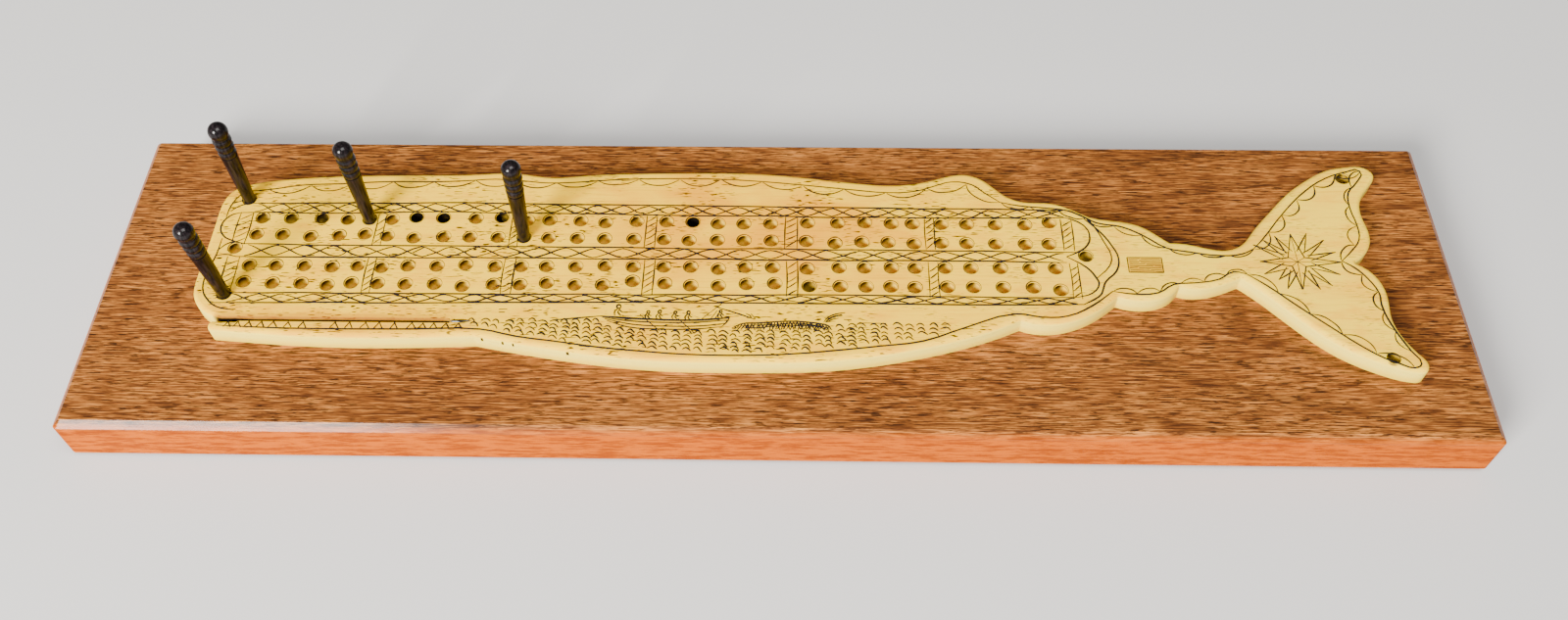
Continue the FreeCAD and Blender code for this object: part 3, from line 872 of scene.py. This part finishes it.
@dataclass
class Rims(OnPlate):
    """Dark rings around the mouths of the holes, thickened towards the rear left as painted
    shadow.
    """

    largest: float = 4.0
    fewest: int = 8
    uneven: float = 0.05
    thin: float = 0.10
    thick: float = 0.30
    # Heading of the painted shadow, where the rings are thickest.
    shadow_heading: float = 128.0
    height: float = 0.03
    steps: int = 28
    seed: int = 51

    def holes(self) -> list[Triple]:
        """Find the round holes in the plate's face.

        Returns:
            X, Y and radius of each hole in millimetres.
        """
        net = bmesh.new()
        net.from_mesh(bpy.data.objects["whale_plate"].data)
        bmesh.ops.remove_doubles(net, verts=net.verts[:], dist=1e-6)
        near: dict[int, list[bmesh.types.BMVert]] = {}
        for edge in net.edges:
            flat = [face for face in edge.link_faces if face.normal.z > 0.99]
            high = all(abs(vert.co.z - self.level) < 1e-5 for vert in edge.verts)
            if len(flat) == 1 and high:
                first, second = edge.verts
                near.setdefault(first.index, []).append(second)
                near.setdefault(second.index, []).append(first)
        found, seen = [], set()
        for start in net.verts:
            queue, ring = [start] if start.index in near else [], []
            while queue:
                vert = queue.pop()
                if vert.index not in seen:
                    seen.add(vert.index)
                    ring.append(vert.co / MM)
                    queue.extend(near[vert.index])
            if ring:
                width = max(mark.x for mark in ring) - min(mark.x for mark in ring)
                centre = sum(ring, Vector()) / len(ring)
                reach = [(mark - centre).length for mark in ring]
                round_enough = max(reach) - min(reach) < self.uneven * max(reach)
                if width < self.largest and len(ring) > self.fewest and round_enough:
                    found.append((centre.x, centre.y, max(reach)))
        net.free()
        return found

    def build(self) -> None:
        """Draw one uneven ring around each hole."""
        hand = random.Random(self.seed)
        net = bmesh.new()
        section = [net.verts.new((out, 0.0, high)) for out, high in (
            (-0.01, 0.0), (0.3 * self.thick, self.height), (self.thick, 0.0))]
        edges = [net.edges.new(pair) for pair in zip(section, section[1:] + section[:1])]
        holes = self.holes()
        bmesh.ops.translate(net, vec=(holes[0][2], 0.0, 0.0), verts=section)
        bmesh.ops.spin(net, geom=section + edges, cent=(0.0, 0.0, 0.0), axis=(0.0, 0.0, 1.0),
                       angle=math.tau, steps=self.steps, use_merge=True)
        bmesh.ops.recalc_face_normals(net, faces=net.faces[:])
        first = net.verts[:] + net.edges[:] + net.faces[:]
        for x, y, radius in holes:
            share, lean = hand.uniform(0.7, 1.15), self.shadow_heading + hand.gauss(0, 14.0)
            copied = bmesh.ops.duplicate(net, geom=first)["geom"]
            for vert in (part for part in copied if isinstance(part, bmesh.types.BMVert)):
                arm = vert.co.xy
                turn = math.atan2(arm.y, arm.x) - math.radians(lean)
                # Painted shadow: each ring widens towards the rear left.
                shadow_swell = (0.5 + 0.5 * math.cos(turn)) ** 1.5 * share
                wide = (self.thin + (self.thick - self.thin) * shadow_swell) / self.thick
                arm *= (radius + (arm.length - holes[0][2]) * wide) / arm.length
                vert.co = Vector((x + arm.x, y + arm.y, self.level / MM + vert.co.z)) * MM
        bmesh.ops.delete(net, context="VERTS", geom=[
            part for part in first if isinstance(part, bmesh.types.BMVert)])
        mesh = bpy.data.meshes.new("rims_with_painted_shadow")
        net.to_mesh(mesh)
        net.free()
        lay("rims_with_painted_shadow", mesh, self.ink)


@dataclass
class Border(OnPlate):
    """The line inside the whale's edge, its festoons and the teeth of the jaw."""

    back: Path = (
        (-133.4, 22.2), (-128, 22.9), (-120, 24.3), (-110, 25.0), (-100, 25.7), (-85, 25.9),
        (-78, 26.3), (-71, 26.9), (-63, 26.2), (-58, 25.7), (-50, 26.1), (-42, 26.8), (-33, 27.3),
        (-15, 27.4), (-3, 26.5), (10, 25.1), (20, 24.0), (28, 23.2), (35, 23.8), (40, 25.7),
        (44, 27.0), (49, 26.1), (52, 23.6), (56, 20.3))
    loin: Path = (
        (56, 20.3), (60, 19.2), (68, 18.5), (72, 17.8), (76, 15.7), (79, 13.9), (85, 12.6),
        (90, 9.8), (95, 6.2), (100, 5.1), (108, 4.0), (113, 4.6), (116, 6.2))
    rear_fluke: Path = (
        (116, 6.2), (118.4, 8.9), (125, 17.5), (132, 24.9), (138, 29.2), (143, 31.2), (147, 31.5),
        (145, 27.5), (142.5, 24.5), (141.8, 19.5), (142.3, 13.5), (141.7, 9.2), (139.4, 6.0),
        (136.2, 2.6))
    front_fluke: Path = (
        (136.2, 2.6), (138.8, 0.6), (141.2, -2.6), (142.8, -7.0), (142.7, -10.5), (143.5, -16),
        (146.3, -23.4), (147.8, -27.1), (146, -28.0), (143, -27), (140, -25.5), (135, -22),
        (130, -17.5), (123, -11), (117, -5), (113, -1.6))
    stem: Path = (
        (113, -1.6), (110, -1.0), (106, -3.2), (100, -4.4), (95, -4.9), (91, -7.5), (85, -7.8),
        (80.4, -7.1))
    belly: Path = (
        (80.4, -7.1), (75, -11.5), (69, -14.4), (63, -14.9), (57, -13.9), (45, -18), (35, -22),
        (25, -23.5), (15, -24.8), (5, -25.9), (-5, -26.5), (-20, -26.5), (-30, -25.7),
        (-40, -24.6), (-50, -23.2), (-60, -21.7), (-68.5, -19.8), (-85, -19.9), (-105, -20.1),
        (-118, -19.8), (-131, -19.4))
    teeth: tuple[float, ...] = (
        -128.4, -126.0, -123.4, -120.5, -117.6, -114.1, -110.6, -103.0, -99.6, -95.8, -92.6,
        -88.9, -84.8, -82.2, -79.6, -76.8, -73.8)

    def build(self) -> None:
        """Draw the border, the festoons and the teeth."""
        border = Pen("ink_border", self.level, seed=21)
        for path in (self.back, self.loin, self.rear_fluke, self.front_fluke, self.stem,
                     self.belly):
            border.stroke(path, shake=1.2)
        for apex in self.teeth:
            half = border.hand.uniform(0.85, 1.1)
            border.stroke([(apex - half, -19.8), (apex + 0.05, -18.15)], Weight.BOLD, False)
            border.stroke([(apex - 0.05, -18.1), (apex + half, -19.85)], Weight.BOLD, False)
        border.piece(self.ink)
        festoons = Pen("ink_festoons", self.level, seed=22)
        for path, pitch, sag in (
                (self.back[:0:-1], 10.2, 2.0), (self.loin[::-1], 7.4, 1.3),
                (self.rear_fluke[6::-1], 7.2, 2.1), (self.rear_fluke[:5:-1], 6.2, 1.9),
                (self.front_fluke[6::-1], 6.4, 1.8), (self.front_fluke[:7:-1], 8.6, 1.8),
                (self.stem[::-1], 5.4, 1.5)):
            festoons.festoon(path, pitch, sag)
        festoons.piece(self.ink)


@dataclass
class Sea(OnPlate):
    """The whaling scene on the flank, drawn plainly: waves, a boat with rowers and a whale."""

    floor: Path = (
        (-72, -19.4), (-60, -21.3), (-50, -22.8), (-40, -24.2), (-30, -25.3), (-20, -26.1),
        (-5, -26.1), (5, -25.5), (15, -24.4), (25, -23.1), (35, -21.5), (45, -17.8))
    surface: Path = (
        (-72, -17.2), (-60, -16.9), (-42, -16.9), (-39, -18.6), (-33, -19.6), (-12, -19.7),
        (13.0, -19.6), (14.5, -17.6), (45, -17.0))
    boat: tuple[Path, ...] = (
        ((-51.5, -17.0), (-46, -16.4), (-40.5, -15.7)),
        ((-40.5, -15.7), (-36, -16.1), (-28, -16.5), (-20, -16.7), (-15, -16.4), (-10.2, -15.8)),
        ((-40.2, -16.0), (-35, -16.9), (-25, -17.4), (-17, -17.2), (-10.5, -16.5)),
        ((-39.6, -16.5), (-33, -18.0), (-25, -18.4), (-16, -18.2), (-11.0, -17.4)),
        ((-39.0, -17.0), (-34, -18.8), (-27, -19.3), (-18, -19.2), (-12.0, -18.5)),
        ((-10.2, -15.8), (-10.9, -17.2), (-12.0, -18.5)),
    )
    oars: tuple[Path, ...] = (
        ((-31.4, -15.2), (-26.4, -19.7)), ((-22.4, -16.2), (-18.1, -20.4)),
        ((-18.1, -20.4), (-20.0, -20.4)), ((-16.9, -16.5), (-11.9, -11.4)),
        ((-13.6, -12.7), (-8.0, -14.8), (-4.2, -16.2)), ((-35.6, -14.6), (-32.1, -14.3)),
        ((-6.4, -14.6), (-5.2, -15.6), (-6.2, -15.7)), ((-5.2, -14.6), (-4.0, -16.2)),
        ((-14.6, -16.2), (-13.2, -13.8)), ((-13.6, -16.1), (-12.4, -13.9)),
    )
    rowers: tuple[Triple, ...] = (
        (-36.5, -12.9, 1.25), (-29.4, -14.4, 0.9), (-26.7, -14.3, 1.0), (-23.0, -14.5, 0.9),
        (-19.9, -14.5, 1.0), (-12.3, -14.0, 0.9))
    limbs: tuple[tuple[Weight, tuple[Triple, ...]], ...] = (
        (Weight.LINE, ((-0.2, 0, -0.4), (0, -0.75, -1.2), (0, -0.6, -2.1))),
        (Weight.HAIR, ((0.1, 0, -0.4), (0, 0.5, -1.1), (0, 0.9, -1.3))),
        (Weight.HAIR, ((0.1, 0, -0.7), (0, 0, -1.5), (0, 0.6, -2.1))),
        (Weight.HAIR, ((-0.3, 0, -1.1), (0, 0.4, -1.7))))
    whale: Path = (
        (-9.6, -18.9), (-7.2, -17.6), (-4, -17.3), (0, -17.0), (4, -16.7), (8, -16.9),
        (11, -17.3), (13.1, -18.0), (13.6, -19.0))
    spout: tuple[Path, ...] = (
        ((11.9, -16.9), (12.8, -15.5), (14.6, -14.6), (17.0, -14.1)),
        ((12.3, -16.9), (13.3, -15.8), (14.8, -15.1), (16.4, -14.9)),
        ((12.6, -16.9), (13.8, -16.1), (15.4, -15.7)),
        ((13.2, -16.0), (14.5, -15.2), (16.2, -14.6)),
    )
    birds: tuple[Path, ...] = (
        ((-64.9, -14.0), (-62.9, -13.9)), ((-64.8, -14.8), (-63.4, -14.8)),
        ((-59.0, -14.6), (-57.6, -14.3), (-56.8, -13.8)), ((16.6, -16.1), (18.4, -16.2)),
        ((17.6, -16.4), (18.0, -16.7)), ((21.0, -17.0), (26.5, -17.1)))

    def waves(self, pen: Pen) -> None:
        """Fill the sea with stacks of short arcs.

        Args:
            pen: the pen.
        """
        x = self.floor[0][0] + 0.6
        while x < self.floor[-1][0] - 4.0:
            y = height_at(self.surface, x) - pen.hand.uniform(0.0, 0.5)
            bottom = height_at(self.floor, x + 1.0)
            while y > bottom + 0.45:
                wide = pen.hand.uniform(1.5, 2.4)
                rise = pen.hand.uniform(0.3, 0.55)
                fall = pen.hand.uniform(0.35, 0.9)
                left = x + pen.hand.uniform(-0.35, 0.35)
                pen.stroke([(left, y - 0.1), (left + 0.38 * wide, y + rise),
                            (left + 0.72 * wide, y + 0.4 * rise), (left + wide, y - fall)],
                           pen.hand.choice((Weight.FINE, Weight.LINE, Weight.LINE)))
                y -= pen.hand.uniform(0.95, 1.4)
            x += pen.hand.uniform(2.4, 3.0)

    def rower(self, pen: Pen, x: float, y: float, size: float) -> None:
        """Draw one seated figure as a head, a back, an arm and a lap.

        Args:
            pen: the pen.
            x: X of the head.
            y: Y of the head.
            size: scale of the figure.
        """
        turns = [math.radians(angle) for angle in range(0, 361, 60)]
        pen.stroke([(x + 0.38 * size * math.cos(turn), y + 0.42 * size * math.sin(turn))
                    for turn in turns], Weight.LINE, shake=0.4)
        for weight, joints in self.limbs:
            pen.stroke([(x + near + out * size, y + down * size) for near, out, down in joints],
                       weight, shake=0.5)

    def back(self, pen: Pen) -> None:
        """Draw the swimming whale's back with crossed hatching.

        Args:
            pen: the pen.
        """
        pen.stroke(self.whale, Weight.LINE, shake=0.8)
        x = self.whale[0][0] + 0.9
        while x < self.whale[-1][0] - 0.2:
            top = height_at(self.whale, x)
            lean = pen.hand.uniform(0.4, 1.1)
            foot = -19.0 - pen.hand.uniform(0.0, 0.35)
            pen.stroke([(x, top), (x - 0.3 * lean, (top + foot) / 2), (x - lean, foot)],
                       Weight.FINE, shake=1.4)
            if pen.hand.random() < 0.75:
                pen.stroke([(x, top - 0.1), (x + 0.4 * lean, (top + foot) / 2),
                            (x + lean, foot)], Weight.FINE, shake=1.6)
            x += pen.hand.uniform(0.6, 0.9)
        for share in (0.35, 0.6):
            path = [(x, y - share * 2.0) for x, y in self.whale[1:-1]]
            pen.stroke(path, Weight.HAIR, shake=3.0)

    def build(self) -> None:
        """Draw the waves, the boat and the whale."""
        waves = Pen("ink_waves", self.level, width=0.44, seed=31)
        self.waves(waves)
        waves.piece(self.ink)
        scene = Pen("ink_scene", self.level, seed=32)
        for marks in self.boat[:2]:
            scene.stroke(marks, Weight.BOLD, shake=0.6)
        for marks in self.boat[2:] + self.oars + self.spout + self.birds:
            scene.stroke(marks, curved=len(marks) > 2, shake=0.6)
        for x, y, size in self.rowers:
            self.rower(scene, x, y, size)
        self.back(scene)
        scene.piece(self.ink)


@dataclass
class Tail(OnPlate):
    """The star between the flukes and the plain panel on the stem."""

    centre: Mark = (125.6, 2.3)
    main_tips: Path = ((136.0, 2.2), (125.5, 10.9), (116.7, 2.2), (125.2, -6.0))
    corners: Path = ((127.5, 3.6), (123.7, 3.6), (124.0, 0.9), (127.3, 0.8))
    lesser_tips: tuple[tuple[Mark, float], ...] = (
        ((135.4, 5.4), 20), ((133.2, 9.0), 42), ((129.4, 11.2), 66), ((121.6, 10.2), 117),
        ((118.6, 8.8), 137), ((115.9, 7.4), 154), ((117.1, -1.6), 205), ((120.2, -3.2), 226),
        ((121.8, -5.9), 245), ((129.4, -6.1), 294), ((132.4, -4.9), 314), ((135.0, -1.6), 339))
    spread: float = 15.0
    root: Mark = (3.3, 3.2)
    panel: tuple[float, float, float, float] = (85.0, -1.4, 93.2, 3.2)
    hatch: float = 0.55

    def star(self, pen: Pen) -> None:
        """Draw the star: lesser rays behind, and four faceted rays in front.

        Args:
            pen: the pen.
        """
        centre_x, centre_y = self.centre
        for (x, y), heading in self.lesser_tips:
            for side in (-self.spread, self.spread):
                turn = math.radians(heading + side)
                root = (centre_x + self.root[0] * math.cos(turn),
                        centre_y + self.root[1] * math.sin(turn))
                pen.stroke([root, ((root[0] + x) / 2, (root[1] + y) / 2), (x, y)])
        for index, tip in enumerate(self.main_tips):
            for corner in (self.corners[index - 1], self.corners[index]):
                pen.stroke([corner, tip], Weight.BOLD, curved=False)
            pen.stroke([self.centre, tip], Weight.HAIR, curved=False)
        for corner in self.corners:
            pen.stroke([self.centre, corner], Weight.HAIR, curved=False)

    def build(self) -> None:
        """Draw the star and the panel."""
        pen = Pen("ink_tail", self.level, seed=41)
        self.star(pen)
        left, front, right, rear = self.panel
        corners = [(left, front), (right, front), (right, rear), (left, rear)]
        for start, end in zip(corners, corners[1:] + corners[:1]):
            pen.stroke([start, end], curved=False)
        y = front + 0.35
        while y < rear - 0.2:
            middle = pen.hand.uniform(left + 2, right - 2)
            pen.stroke([(left + 0.3, y), (middle, y + 0.1)], Weight.HAIR, curved=False)
            pen.stroke([(middle + 0.3, y), (right - 0.3, y)], Weight.HAIR, curved=False)
            y += self.hatch
        pen.piece(self.ink)


@dataclass
class Mouth(OnPlate):
    """The pitch that fills the pointed back end of the mouth."""

    start: Mark = (-77.0, -17.5)
    end: Mark = (-70.4, -17.3)
    width: float = 1.2
    sunk: float = -0.12
    height: float = 2.0
    blunt: float = 0.55
    taper: float = 0.45
    turn: float = 1.7

    def build(self) -> None:
        """Make the filler as a lens-shaped plug with a domed top."""
        shape = bmesh.new()
        bmesh.ops.create_uvsphere(shape, u_segments=32, v_segments=12, radius=1.0)
        for vertex in shape.verts:
            reach = 1 - abs(vertex.co.x)
            vertex.co.y *= self.blunt + self.taper * reach
        half = math.dist(self.start, self.end) / 2
        bmesh.ops.scale(shape, vec=(half * MM, self.width / 2 * MM, self.height / 2 * MM),
                        verts=shape.verts)
        middle_x = (self.start[0] + self.end[0]) / 2 * MM
        middle_y = (self.start[1] + self.end[1]) / 2 * MM
        centre_z = self.level - (self.sunk + self.height / 2) * MM
        bmesh.ops.rotate(shape, matrix=Matrix.Rotation(math.radians(self.turn), 3, "Z"),
                         verts=shape.verts)
        bmesh.ops.translate(shape, vec=(middle_x, middle_y, centre_z), verts=shape.verts)
        mesh = bpy.data.meshes.new("mouth_filler")
        shape.to_mesh(mesh)
        shape.free()
        mesh.polygons.foreach_set("use_smooth", [True] * len(mesh.polygons))
        lay("mouth_filler", mesh, self.ink)


@dataclass(frozen=True)
class Lamp:
    """One soft rectangular lamp that faces the board; its power is in watts."""

    name: str
    place: Triple
    size: Span
    power: float
    colour: Triple

    def hang(self) -> None:
        """Hang the lamp."""
        data = bpy.data.lights.new(self.name, "AREA")
        data.shape = "RECTANGLE"
        data.size, data.size_y = self.size
        data.energy = self.power
        data.color = self.colour
        lamp = bpy.data.objects.new(self.name, data)
        lamp.location = self.place
        lamp.rotation_euler = Vector(self.place).to_track_quat("Z", "Y").to_euler()
        bpy.context.scene.collection.objects.link(lamp)


@dataclass
class Studio:
    """Pale floor, soft light from the front, and the camera."""

    lamps: tuple[Lamp, ...] = (
        Lamp("key", (-0.66, -1.0, 0.68), (0.45, 0.45), 60.0, (1.0, 0.96, 0.9)),
        Lamp("fill", (0.3, -0.45, 1.35), (0.9, 0.7), 24.0, (1.0, 0.98, 0.95)))
    room: Colour = (1.0, 0.98, 0.95, 1.0)
    room_strength: float = 0.2
    sensor: float = 36.0
    lens: float = 30.93
    shift: Span = (0.0086, 0.0285)
    eye: Triple = (0.00661, -0.20114, 0.27476)
    heading: float = -2.282
    dip: float = 55.646
    roll: float = -1.32
    nearest: float = 0.01
    floor_size: float = 6.0
    floor_drop: float = 0.1

    def floor(self) -> None:
        """Lay the floor."""
        shape = bmesh.new()
        bmesh.ops.create_grid(shape, x_segments=2, y_segments=2, size=self.floor_size / 2)
        mesh = bpy.data.meshes.new("studio_floor")
        shape.to_mesh(mesh)
        shape.free()
        mesh.materials.append(Paper().material())
        mesh.transform(Matrix.Translation((0.0, 0.0, -self.floor_drop * MM)))
        floor = bpy.data.objects.new("studio_floor", mesh)
        bpy.context.scene.collection.objects.link(floor)

    def sky(self) -> None:
        """Set the even light of the room."""
        world = bpy.data.worlds.new("room")
        world.use_nodes = True
        background = world.node_tree.nodes["Background"]
        background.inputs["Color"].default_value = self.room
        background.inputs["Strength"].default_value = self.room_strength
        bpy.context.scene.world = world

    def camera(self) -> None:
        """Place the camera."""
        data = bpy.data.cameras.new("camera")
        data.sensor_width = self.sensor
        data.lens = self.lens
        data.shift_x, data.shift_y = self.shift
        data.clip_start = self.nearest
        camera = bpy.data.objects.new("camera", data)
        camera.location = self.eye
        look = Euler((math.radians(90 - self.dip), 0.0, math.radians(-self.heading)))
        spin = Matrix.Rotation(math.radians(self.roll), 3, "Z")
        camera.rotation_euler = (look.to_matrix() @ spin).to_euler()
        bpy.context.scene.collection.objects.link(camera)
        bpy.context.scene.camera = camera

    def build(self) -> None:
        """Set up the whole studio."""
        self.floor()
        for lamp in self.lamps:
            lamp.hang()
        self.sky()
        self.camera()


def main() -> None:
    """Build every sub-assembly in order."""
    logging.basicConfig(level=logging.INFO, format="%(name)s: %(message)s")
    plate_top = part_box("whale_plate")[1].z
    dress("base_plank", PlankWood().material(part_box("base_plank")[1].z / MM))
    dress("whale_plate", Bone().material(plate_top / MM))
    dress("plate_screws", Brass().material())
    peg_wood = PegWood().material()
    felt = Felt().material()
    for number in range(1, 5):
        dress("peg_%d" % number, peg_wood)
        dress("felt_pad_%d" % number, felt)
    ink = Ink().material()
    for group in (Tracks, Rims, Border, Sea, Tail):
        group(plate_top, ink).build()
    Mouth(plate_top, Pitch().material()).build()
    Studio().build()


if __name__ == "__main__":
    main()
